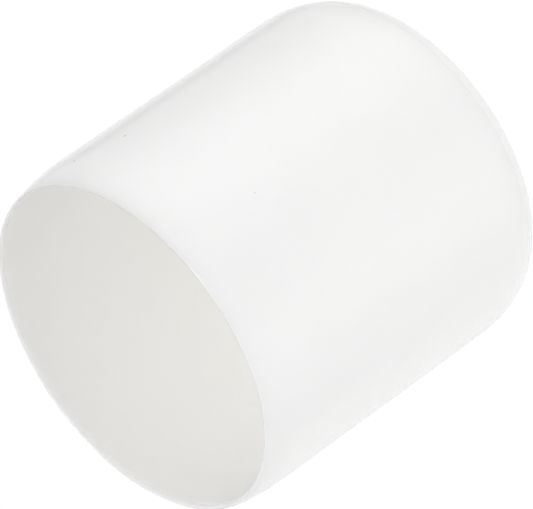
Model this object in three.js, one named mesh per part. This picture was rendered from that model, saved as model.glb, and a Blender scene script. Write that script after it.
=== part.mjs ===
// A slip-over end cap for a round pipe, dip-moulded in one piece from soft vinyl.
// It stands on its closed end with its mouth up. The origin is the middle of the closed end's
// outer face, +Z runs along the axis towards the mouth, and every length is in millimetres.
import * as THREE from "three";

// Driving dimensions.
const BORE_DIAMETER = 48;
const BORE_DEPTH = 51.5;
const WALL = 1.5;
const END_THICKNESS = 2;
// The closed end turns into the wall through a quarter of an ellipse, longer along the axis.
const END_CORNER_ALONG = 8;
const END_CORNER_ACROSS = 4.2;
// The outer surface draws in to the thin edge of the mouth over this length.
const LIP_LENGTH = 8;
// The inner edge of the mouth is rounded by a quarter of an ellipse, longer along the axis.
const RIM_ACROSS = 0.3;
const RIM_ALONG = 1.2;

// Sides of the round surfaces, and steps along each quarter turn of the outline.
const SIDES = 72;
const CORNER_STEPS = 7;
const LIP_STEPS = 8;
const RIM_STEPS = 4;

// Sizes that follow from the driving dimensions.
const boreRadius = BORE_DIAMETER / 2;
const outerRadius = boreRadius + WALL;
const rimHeight = END_THICKNESS + BORE_DEPTH;

// A quarter of an ellipse as outline points, from one angle to another, both ends included.
function quarter(centreRadius, centreHeight, across, along, fromAngle, toAngle, steps) {
  const arc = new THREE.EllipseCurve(
    centreRadius,
    centreHeight,
    across,
    along,
    fromAngle,
    toAngle,
    toAngle < fromAngle,
  );
  return arc.getPoints(steps);
}

// The half section of the cap, from the axis round the outside, over the rim and back inside.
function capOutline() {
  const RIGHT = 0;
  const UP = Math.PI / 2;
  const LEFT = Math.PI;
  const DOWN = -Math.PI / 2;
  const cornerRadius = outerRadius - END_CORNER_ACROSS;
  const outerCorner = quarter(
    cornerRadius,
    END_CORNER_ALONG,
    END_CORNER_ACROSS,
    END_CORNER_ALONG,
    DOWN,
    RIGHT,
    CORNER_STEPS,
  );
  const rimRadius = boreRadius + RIM_ACROSS;
  const lip = quarter(
    rimRadius,
    rimHeight - LIP_LENGTH,
    outerRadius - rimRadius,
    LIP_LENGTH,
    RIGHT,
    UP,
    LIP_STEPS,
  );
  const rim = quarter(
    rimRadius,
    rimHeight - RIM_ALONG,
    RIM_ACROSS,
    RIM_ALONG,
    UP,
    LEFT,
    RIM_STEPS,
  );
  const innerCorner = quarter(
    cornerRadius,
    END_CORNER_ALONG,
    END_CORNER_ACROSS - WALL,
    END_CORNER_ALONG - END_THICKNESS,
    RIGHT,
    DOWN,
    CORNER_STEPS,
  );
  return [
    new THREE.Vector2(0, 0),
    ...outerCorner,
    ...lip,
    ...rim.slice(1),
    ...innerCorner,
    new THREE.Vector2(0, END_THICKNESS),
  ];
}

// The cap itself: the half section turned once round the axis.
function pipeCap() {
  const shell = new THREE.LatheGeometry(capOutline(), SIDES);
  shell.rotateX(Math.PI / 2);
  const whiteVinyl = new THREE.MeshStandardMaterial({
    color: 0xf2f2ef,
    roughness: 0.22,
    metalness: 0,
  });
  const mesh = new THREE.Mesh(shell, whiteVinyl);
  mesh.name = "pipe_cap";
  return mesh;
}

const part = new THREE.Group();
part.add(pipeCap());

export default part;
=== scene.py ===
# %% [markdown]
# # A moulded vinyl pipe cap
#
# The object is a slip-over cap for the end of a round pipe. A factory makes it by dipping a warm
# metal mandrel into liquid vinyl: the skin that sets on the mandrel is the whole cap, in one piece.
# That is why it has soft corners, one even colour, no parting line and a lip that thins to an edge.
#
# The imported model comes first. It is the fixed frame: it says where the cap is and how large.

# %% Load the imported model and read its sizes
import math

import bmesh
import bpy
from mathutils import Matrix, Vector, noise


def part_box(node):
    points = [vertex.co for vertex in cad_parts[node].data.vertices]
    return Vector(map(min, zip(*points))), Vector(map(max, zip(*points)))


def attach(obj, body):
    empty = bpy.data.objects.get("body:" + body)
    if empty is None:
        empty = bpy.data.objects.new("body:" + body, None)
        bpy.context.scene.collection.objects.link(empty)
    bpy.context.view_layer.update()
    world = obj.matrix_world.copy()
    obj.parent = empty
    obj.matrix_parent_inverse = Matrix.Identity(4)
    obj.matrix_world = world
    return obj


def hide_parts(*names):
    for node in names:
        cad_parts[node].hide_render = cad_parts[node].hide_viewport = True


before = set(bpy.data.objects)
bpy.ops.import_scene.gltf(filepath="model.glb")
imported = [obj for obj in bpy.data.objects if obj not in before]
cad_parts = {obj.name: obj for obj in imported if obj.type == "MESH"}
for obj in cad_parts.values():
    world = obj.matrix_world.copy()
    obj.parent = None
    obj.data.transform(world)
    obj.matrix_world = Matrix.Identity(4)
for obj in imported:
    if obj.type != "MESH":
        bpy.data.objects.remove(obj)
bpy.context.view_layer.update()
low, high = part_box("pipe_cap")

MM = 0.001
outer_radius = (high.x - low.x) / 2
cap_length = high.z - low.z
cap_middle = (low + high) / 2
print("cap", round(2 * outer_radius / MM, 2), "mm across,", round(cap_length / MM, 2), "mm long")

# %% [markdown]
# ## The half section
#
# A dipped cap is the same all round, so one half section says everything about its shape. It could
# be cut from a cylinder with bevels, but the corners here are quarters of ellipses: the skin leaves
# the mandrel's end in a long soft curve, and thins towards the mouth over a few millimetres. A bevel
# gives circles, so each quarter is made by spinning a single point through 90 degrees and then
# squashing the arc. The arcs are joined by straight edges, which are subdivided so that the wall has
# points to bend later.

# %% Sizes of the half section, in metres
WALL = 1.5 * MM
END_THICKNESS = 2.0 * MM
END_CORNER_ALONG = 8.0 * MM
END_CORNER_ACROSS = 4.2 * MM
LIP_LENGTH = 8.0 * MM
RIM_ACROSS = 0.3 * MM
RIM_ALONG = 1.2 * MM

bore_radius = outer_radius - WALL
corner_radius = outer_radius - END_CORNER_ACROSS
rim_radius = bore_radius + RIM_ACROSS
print("bore", round(2 * bore_radius / MM, 2), "mm across, wall", round(WALL / MM, 2), "mm")


# %% A quarter of an ellipse from one spun point
def quarter(bm, centre, across, along, start, turn, steps):
    """The points of an elliptical arc in the XZ plane, in order. Angles are in degrees."""
    before = set(bm.verts)
    first = bm.verts.new((math.cos(math.radians(start)), 0, math.sin(math.radians(start))))
    bmesh.ops.spin(
        bm, geom=[first], cent=(0, 0, 0), axis=(0, -1, 0), angle=math.radians(turn), steps=steps
    )
    arc = [v for v in bm.verts if v not in before]
    bmesh.ops.scale(bm, vec=(across, 1, along), verts=arc)
    bmesh.ops.translate(bm, vec=(centre[0], 0, centre[1]), verts=arc)
    return arc


def cut_straight(bm, longer_than, cuts):
    """Cuts the straight edges over that length into shorter ones."""
    straight = [e for e in bm.edges if e.calc_length() > longer_than]
    bmesh.ops.subdivide_edges(bm, edges=straight, cuts=cuts)


# %% Draw the half section
OUTER_CORNER_STEPS = 18
LIP_STEPS = 20
RIM_STEPS = 12
INNER_CORNER_STEPS = 14
WALL_CUTS = 40
END_CUTS = 11
# The walls are longer than the first length, and the flats of the end than the second.
WALL_IS_OVER = 30 * MM
END_IS_OVER = 10 * MM
SAME_PLACE = 1e-7


def draw_section(bm):
    """The outline from the axis round the outside, over the rim and back down the bore."""
    corner_centre = (corner_radius, END_CORNER_ALONG)
    outer_corner = quarter(
        bm, corner_centre, END_CORNER_ACROSS, END_CORNER_ALONG, -90, 90, OUTER_CORNER_STEPS
    )
    lip_centre = (rim_radius, cap_length - LIP_LENGTH)
    lip = quarter(bm, lip_centre, outer_radius - rim_radius, LIP_LENGTH, 0, 90, LIP_STEPS)
    rim_centre = (rim_radius, cap_length - RIM_ALONG)
    rim = quarter(bm, rim_centre, RIM_ACROSS, RIM_ALONG, 90, 90, RIM_STEPS)
    inner_corner = quarter(
        bm,
        corner_centre,
        END_CORNER_ACROSS - WALL,
        END_CORNER_ALONG - END_THICKNESS,
        0,
        -90,
        INNER_CORNER_STEPS,
    )
    under = bm.verts.new((0, 0, 0))
    floor = bm.verts.new((0, 0, END_THICKNESS))
    for start, end in (
        (under, outer_corner[0]),
        (outer_corner[-1], lip[0]),
        (rim[-1], inner_corner[0]),
        (inner_corner[-1], floor),
    ):
        bm.edges.new((start, end))
    cut_straight(bm, WALL_IS_OVER, WALL_CUTS)
    cut_straight(bm, END_IS_OVER, END_CUTS)
    bmesh.ops.remove_doubles(bm, verts=bm.verts, dist=SAME_PLACE)
    bmesh.ops.translate(bm, vec=(0, 0, low.z), verts=bm.verts)


# %% [markdown]
# ## The skin
#
# Spinning the half section once round the axis gives the closed skin. `use_merge` welds the last
# step to the first, and merging doubles closes the two poles. A point attribute called `inside`
# is painted on the section before the spin, and the spin carries it along. The material reads it
# to tell the satin bore, which copies the mandrel, from the glossy outside, which set in the open.

# %% Spin the half section into the skin
STEPS_AROUND = 256
INSIDE_FADE = 1.5 * RIM_ALONG


def paint_inside(bm):
    """0 on the outside, 1 in the bore, with a soft change over the rim."""
    inside = bm.verts.layers.float.new("inside")
    for v in bm.verts:
        height = v.co.z - low.z
        in_bore = v.co.x < rim_radius and height > END_THICKNESS / 2
        v[inside] = min(1, (cap_length - height) / INSIDE_FADE) if in_bore else 0


def spin_skin():
    """The whole closed skin, with its faces pointing outwards."""
    bm = bmesh.new()
    draw_section(bm)
    paint_inside(bm)
    bmesh.ops.spin(
        bm,
        geom=bm.verts[:] + bm.edges[:],
        cent=(0, 0, 0),
        axis=(0, 0, 1),
        angle=math.tau,
        steps=STEPS_AROUND,
        use_merge=True,
    )
    bmesh.ops.remove_doubles(bm, verts=bm.verts, dist=SAME_PLACE)
    bmesh.ops.recalc_face_normals(bm, faces=bm.faces)
    return bm


skin = spin_skin()
print("skin:", len(skin.verts), "points,", len(skin.faces), "faces")

# %% [markdown]
# ## What makes it a real moulding
#
# A perfect solid of revolution looks like a computer drawing. The real skin cooled unevenly: its
# open end is a little out of round, its wall wanders by a few hundredths of a millimetre, its edge
# rises and dips and is thinner on one side, where the vinyl ran off the mandrel, and the last drop
# left a faint mark on a slightly dished end. A Displace modifier could do some of this, but each of
# these flaws has its own direction, so the points are moved in code, with smooth noise that is the
# same on every run.

# %% How far the vinyl moved as it cooled
# The mouth is oval by this much, and the oval is turned by this angle.
OUT_OF_ROUND = 0.12 * MM
OVAL_TURN = 0.7
# The wall wanders in and out, over patches of this size.
WALL_WANDER = 0.035 * MM
WALL_PATCH = 14 * MM
WALL_SEED = 3
# The edge rises and dips, over stretches of this size, and the power keeps it near the mouth.
EDGE_WANDER = 0.09 * MM
EDGE_STRETCH = 9 * MM
EDGE_SEED = 7
EDGE_POWER = 8
# One side of the edge is drawn in to a line inside the wall, by this share, down to this depth.
THINNING = 0.6
THIN_LINE = 0.6 * MM
THIN_DEPTH = 3.0 * MM
THIN_SIDE = math.radians(-25)
# The middle of the closed end is dished, with the mark of the last drop in it.
END_DISH = 0.25 * MM
DRIP_HEIGHT = 0.12 * MM
DRIP_RADIUS = 2.2 * MM
# The lowest part of the cap, as a share of its length, holds only the end's outer face.
END_FACE_SHARE = 0.01


# %% Move the points as the cooling vinyl did
def wander(point, size, seed):
    """Smooth noise from -1 to 1 that changes over about the given length."""
    return noise.noise(point / size + Vector((seed, seed * 1.7, seed * 2.3)))


def thinning(around, height):
    """How much of the way to the thin line a point goes, from 0 to THINNING."""
    depth = (high.z - height) / THIN_DEPTH
    facing = max(0, math.cos(around - THIN_SIDE))
    return THINNING * facing**2 * math.exp(-(depth**2))


def shape_like_vinyl(bm):
    for v in bm.verts:
        around = math.atan2(v.co.y, v.co.x)
        radius = math.hypot(v.co.x, v.co.y)
        share = (v.co.z - low.z) / cap_length
        if radius > corner_radius:
            out = Vector((v.co.x / radius, v.co.y / radius, 0))
            on_ring = Vector((math.cos(around), math.sin(around), 0)) * outer_radius
            on_wall = on_ring + Vector((0, 0, v.co.z))
            push = OUT_OF_ROUND * share**2 * math.cos(2 * around - OVAL_TURN)
            push += WALL_WANDER * wander(on_wall, WALL_PATCH, WALL_SEED)
            push += (bore_radius + THIN_LINE - radius) * thinning(around, v.co.z)
            rise = EDGE_WANDER * wander(on_ring, EDGE_STRETCH, EDGE_SEED) * share**EDGE_POWER
            v.co += out * push + Vector((0, 0, rise))
        elif share < END_FACE_SHARE:
            dish = END_DISH * (1 - (radius / corner_radius) ** 2) ** 2
            drip = DRIP_HEIGHT * math.exp(-((radius / DRIP_RADIUS) ** 2))
            v.co.z += dish - drip


shape_like_vinyl(skin)
print("edge rises", round((max(v.co.z for v in skin.verts) - high.z) / MM, 3), "mm at most")

# %% [markdown]
# ## The piece and its place in the frame
#
# The real cap is one piece of vinyl, so all of the skin becomes one object. It could stay separate
# from the imported model, but then both would be seen, so the imported model is hidden. The piece
# is attached to the body it moves with.

# %% Turn the skin into a piece
def finish_piece(bm, name):
    """An object at the origin, smooth-shaded, with its place in its mesh."""
    mesh = bpy.data.meshes.new(name)
    bm.to_mesh(mesh)
    bm.free()
    for polygon in mesh.polygons:
        polygon.use_smooth = True
    piece = bpy.data.objects.new(name, mesh)
    bpy.context.scene.collection.objects.link(piece)
    return piece


cap = finish_piece(skin, "cap_skin")
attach(cap, "root")
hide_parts("pipe_cap")
print("piece", cap.name, [round(x / MM, 2) for x in cap.dimensions], "mm")


# %% [markdown]
# ## The vinyl
#
# White vinyl is not a painted white. Light goes a short way into it and comes out again, so the
# shader scatters it below the surface. The outside has a glossy skin with a faint orange-peel ripple
# from the way it set. The bore is satin and a little warmer, with fine lines along it that it copied
# from the mandrel. Handling leaves a little grey and a few specks of dust. Two materials could be
# put on two sets of faces, but the change over the rim would be a hard line, so one material holds
# all of it and the `inside` attribute blends between the two.

# %% A short way to write nodes
def add(tree, kind, inputs=None, **settings):
    """A node with its settings made and its sockets set or linked."""
    made = tree.nodes.new(kind)
    for key, value in settings.items():
        setattr(made, key, value)
    for key, value in (inputs or {}).items():
        if isinstance(value, bpy.types.NodeSocket):
            tree.links.new(value, made.inputs[key])
        else:
            made.inputs[key].default_value = value
    return made


def blend_colours(tree, share, first, second):
    """A colour between two others. The Mix node's colour sockets are numbers 6 and 7."""
    inputs = {0: share, 6: first, 7: second}
    return add(tree, "ShaderNodeMix", inputs, data_type="RGBA").outputs[2]


def blend_values(tree, share, first, second):
    """A value between two others. The Mix node's value sockets are numbers 2 and 3."""
    inputs = {0: share, 2: first, 3: second}
    return add(tree, "ShaderNodeMix", inputs, data_type="FLOAT").outputs[0]


def stretch(tree, value, from_low, from_high, to_low, to_high):
    """A value moved from one range to another, and kept inside it."""
    inputs = {"Value": value, 1: from_low, 2: from_high, 3: to_low, 4: to_high}
    return add(tree, "ShaderNodeMapRange", inputs).outputs["Result"]


def figure(tree, operation, first, second):
    """One sum on two values."""
    return add(tree, "ShaderNodeMath", {0: first, 1: second}, operation=operation).outputs[0]


def cloudy(tree, place, scale, detail, roughness=0.5):
    """Smooth noise from 0 to 1, at so many patches to the metre."""
    inputs = {"Vector": place, "Scale": scale, "Detail": detail, "Roughness": roughness}
    return add(tree, "ShaderNodeTexNoise", inputs).outputs["Fac"]


# %% The vinyl's colours and patterns
OUTSIDE_WHITE = (0.905, 0.902, 0.902, 1)
INSIDE_WHITE = (0.942, 0.936, 0.918, 1)
HANDLED_GREY = (0.80, 0.80, 0.79, 1)
SPECK_GREY = (0.42, 0.40, 0.37, 1)

# Patches to the metre.
HANDLED_SCALE = 90
SMEAR_SCALE = 260
PEEL_SCALE = 420
SPECK_SCALE = 95
LINE_SCALE = 1500
# The bore's lines are drawn out along the axis.
LINE_STRETCH = (1, 1, 0.03)

HANDLED_MOST = 0.15
SPECK_SHARE = 0.5
# A speck fades out between these two distances from its middle, as shares of a patch.
SPECK_EDGE = (0.02, 0.028)
# Roughness where the surface is cleanest and where it is most smeared.
OUTSIDE_ROUGHNESS = (0.10, 0.17)
INSIDE_ROUGHNESS = (0.42, 0.58)
RIPPLE_STRENGTH = 0.15
RIPPLE_HEIGHT = 0.05 * MM

VINYL_IOR = 1.53
# Red goes a little deeper than blue, as shares of the scatter depth.
SCATTER_COLOUR = (1.0, 0.98, 0.95)
SCATTER_DEPTH = 2.0 * MM


# %% Make the vinyl
def vinyl_colour(tree, place, inside):
    """White, warmer in the bore, a little grey where handled, with a few specks."""
    cloud = cloudy(tree, place, HANDLED_SCALE, 3)
    dots = add(tree, "ShaderNodeTexVoronoi", {"Vector": place, "Scale": SPECK_SCALE})
    speck = stretch(tree, dots.outputs["Distance"], *SPECK_EDGE, 1, 0)
    white = blend_colours(tree, inside, OUTSIDE_WHITE, INSIDE_WHITE)
    handled = stretch(tree, cloud, 0.45, 0.85, 0, HANDLED_MOST)
    worn = blend_colours(tree, handled, white, HANDLED_GREY)
    return blend_colours(tree, figure(tree, "MULTIPLY", speck, SPECK_SHARE), worn, SPECK_GREY)


def vinyl_roughness(tree, place, inside):
    """Glossy outside and satin in the bore, with faint smears on both."""
    smear = cloudy(tree, place, SMEAR_SCALE, 5, 0.6)
    outside_gloss = stretch(tree, smear, 0.3, 0.75, *OUTSIDE_ROUGHNESS)
    inside_gloss = stretch(tree, smear, 0.3, 0.75, *INSIDE_ROUGHNESS)
    return blend_values(tree, inside, outside_gloss, inside_gloss)


def vinyl_ripple(tree, place, inside):
    """Orange peel outside, and fine lines along the bore."""
    peel = cloudy(tree, place, PEEL_SCALE, 2, 0.4)
    mapping = {"Vector": place, "Scale": LINE_STRETCH}
    along_bore = add(tree, "ShaderNodeMapping", mapping).outputs["Vector"]
    drawn = cloudy(tree, along_bore, LINE_SCALE, 2)
    height = blend_values(tree, inside, peel, drawn)
    bump = {"Height": height, "Strength": RIPPLE_STRENGTH, "Distance": RIPPLE_HEIGHT}
    return add(tree, "ShaderNodeBump", bump).outputs["Normal"]


def make_vinyl():
    material = bpy.data.materials.new("moulded_vinyl")
    material.use_nodes = True
    tree = material.node_tree
    shader = tree.nodes["Principled BSDF"]
    place = add(tree, "ShaderNodeTexCoord").outputs["Object"]
    inside = add(tree, "ShaderNodeAttribute", attribute_name="inside").outputs["Fac"]
    tree.links.new(vinyl_colour(tree, place, inside), shader.inputs["Base Color"])
    tree.links.new(vinyl_roughness(tree, place, inside), shader.inputs["Roughness"])
    tree.links.new(vinyl_ripple(tree, place, inside), shader.inputs["Normal"])
    shader.inputs["IOR"].default_value = VINYL_IOR
    shader.inputs["Subsurface Weight"].default_value = 1
    shader.inputs["Subsurface Radius"].default_value = SCATTER_COLOUR
    shader.inputs["Subsurface Scale"].default_value = SCATTER_DEPTH
    return material


vinyl = make_vinyl()
cap.data.materials.append(vinyl)
print("material", vinyl.name, "with", len(vinyl.node_tree.nodes), "nodes")

# %% [markdown]
# ## The stage
#
# A white part on white is lit with almost no shadow: the pale floor and the backdrop are so bright
# that they burn out to paper white, and only the gentle fall of light over the vinyl draws its
# form. A lit floor could do this too, but its glow would wash out the cap's underside, so floor and
# backdrop are seen by the camera only. The light itself comes from the world, as in a light tent.

# %% The pale floor and the backdrop
STAGE_GLOW = 1.02
STAGE_RADIUS = 1.9
FLOOR_SIDES = 96
DOME_SUBDIVISIONS = 4
# The floor lies this far under the cap, so that the two faces don't touch.
FLOOR_GAP = 0.02 * MM


def make_glow(name):
    """A surface that only glows, evenly."""
    material = bpy.data.materials.new(name)
    material.use_nodes = True
    tree = material.node_tree
    tree.nodes.clear()
    glow = add(tree, "ShaderNodeEmission", {"Color": (1, 1, 1, 1), "Strength": STAGE_GLOW})
    add(tree, "ShaderNodeOutputMaterial", {"Surface": glow.outputs[0]})
    return material


def make_stage(bm, name, material):
    """A piece of the stage that gives the cap no light, mirror image or shadow."""
    piece = finish_piece(bm, name)
    piece.data.materials.append(material)
    piece.visible_diffuse = False
    piece.visible_glossy = False
    piece.visible_transmission = False
    piece.visible_shadow = False
    print("stage", piece.name, [round(x, 2) for x in piece.dimensions], "m")


floor_height = low.z - FLOOR_GAP
floor_shape = bmesh.new()
bmesh.ops.create_circle(
    floor_shape, cap_ends=True, segments=FLOOR_SIDES, radius=STAGE_RADIUS
)
bmesh.ops.translate(floor_shape, vec=(0, 0, floor_height), verts=floor_shape.verts)
make_stage(floor_shape, "floor", make_glow("pale_floor"))

dome_shape = bmesh.new()
bmesh.ops.create_icosphere(dome_shape, subdivisions=DOME_SUBDIVISIONS, radius=STAGE_RADIUS)
bmesh.ops.bisect_plane(
    dome_shape,
    geom=dome_shape.verts[:] + dome_shape.edges[:] + dome_shape.faces[:],
    plane_co=(0, 0, floor_height),
    plane_no=(0, 0, 1),
    clear_inner=True,
)
make_stage(dome_shape, "backdrop", make_glow("pale_backdrop"))

# %% [markdown]
# ## The light
#
# A photographer would put such a cap in a light tent and shine softboxes through its cloth. Area
# lights could do that, but each would leave a hard-edged mirror image in the gloss. Here the world
# itself is the tent: an even glow, and soft pools of light in it that fade out with the angle from
# their middle. Two pools shine into the mouth, one lies along the wall from below and one beside
# the end. The four behind the cap show at its outline, where gloss mirrors the most: two light it
# from behind, one lifts the upper flank, and a gap in the cloth, which is a pool of darkness, draws
# a thin grey line along that flank.

# %% The tent's even glow and its pools of light
TENT_GLOW = 0.4
# Each pool's name, the direction of its middle, its strength, and how tight it is.
POOLS = (
    ("over the mouth", (0.23, -0.40, 0.88), 3.7, 14),
    ("past the mouth", (-0.44, -0.15, 0.89), 1.1, 10),
    ("along the wall", (0.70, -0.37, -0.61), 1.22, 5),
    ("beside the end", (-0.62, -0.52, -0.58), 1.18, 5),
    ("behind the end", (-0.65, 0.50, -0.57), 0.7, 6),
    ("behind the wall", (0.0, 0.85, -0.53), 0.33, 8),
    ("beyond the flank", (0.45, 0.72, -0.53), 0.3, 10),
    ("gap in the cloth", (0.465, 0.709, -0.53), -0.28, 150),
)


def make_tent():
    """A world whose glow depends only on the direction."""
    world = bpy.data.worlds.new("light_tent")
    world.use_nodes = True
    tree = world.node_tree
    toward = add(tree, "ShaderNodeTexCoord").outputs["Generated"]
    glow = TENT_GLOW
    for name, middle, strength, tightness in POOLS:
        both = {0: toward, 1: Vector(middle).normalized()}
        dot = add(tree, "ShaderNodeVectorMath", both, operation="DOT_PRODUCT").outputs["Value"]
        facing = figure(tree, "MAXIMUM", dot, 0)
        pool = figure(tree, "MULTIPLY", figure(tree, "POWER", facing, tightness), strength)
        glow = figure(tree, "ADD", pool, glow)
        print("pool of light", name, "strength", strength)
    background = tree.nodes["Background"]
    background.inputs["Color"].default_value = (1, 1, 1, 1)
    tree.links.new(glow, background.inputs["Strength"])
    return world


bpy.context.scene.world = make_tent()

# %% [markdown]
# ## Light that bounces on in the bore
#
# A real white bore hands light on from wall to wall many times, which is why it is pale deep down.
# Four bounces, the usual number, lose that light and leave the bore grey. A lamp in the bore could
# fill it, but it would also light the rim, so the light is allowed to bounce on instead.

# %% Let light bounce on
DIFFUSE_BOUNCES = 12
ALL_BOUNCES = 16

bpy.context.scene.cycles.diffuse_bounces = DIFFUSE_BOUNCES
bpy.context.scene.cycles.max_bounces = ALL_BOUNCES
print("bounces", DIFFUSE_BOUNCES, "diffuse,", ALL_BOUNCES, "in all")

# %% [markdown]
# ## The camera
#
# A long lens from about a metre keeps the cap's sides parallel. The camera looks down into the mouth
# and is rolled on its side, so that the cap lies across the picture with its mouth to the left. The
# cap could be turned instead, but it has to stay where the frame says it is.

# %% Place and roll the camera
LENS = 540
SENSOR = 36
ELEVATION = math.radians(31.8)
ROLL = math.radians(125.2)
DISTANCE = 1.0622
AIM_RIGHT = -0.735 * MM
AIM_UP = -0.73 * MM
SEES_TO = 10

camera = bpy.data.objects.new("camera", bpy.data.cameras.new("camera"))
bpy.context.scene.collection.objects.link(camera)
camera.data.lens = LENS
camera.data.sensor_width = SENSOR
camera.data.clip_end = SEES_TO
upright = Matrix.Rotation(math.pi / 2 - ELEVATION, 4, "X")
turned = upright @ Matrix.Rotation(-ROLL, 4, "Z")
right, up, back = (turned.col[i].to_3d() for i in range(3))
aim = cap_middle + right * AIM_RIGHT + up * AIM_UP
camera.matrix_world = Matrix.Translation(aim + back * DISTANCE) @ turned
bpy.context.scene.camera = camera
print("camera at", [round(x, 3) for x in camera.matrix_world.translation], "m")

# %% [markdown]
# ## Plain colours
#
# Blender's usual view transform bends bright tones down, as film does, and would turn the paper
# white grey. The Standard transform shows each tone as the light made it.

# %% Show the tones straight
bpy.context.scene.view_settings.view_transform = "Standard"
bpy.context.scene.view_settings.look = "None"
print("view transform", bpy.context.scene.view_settings.view_transform)
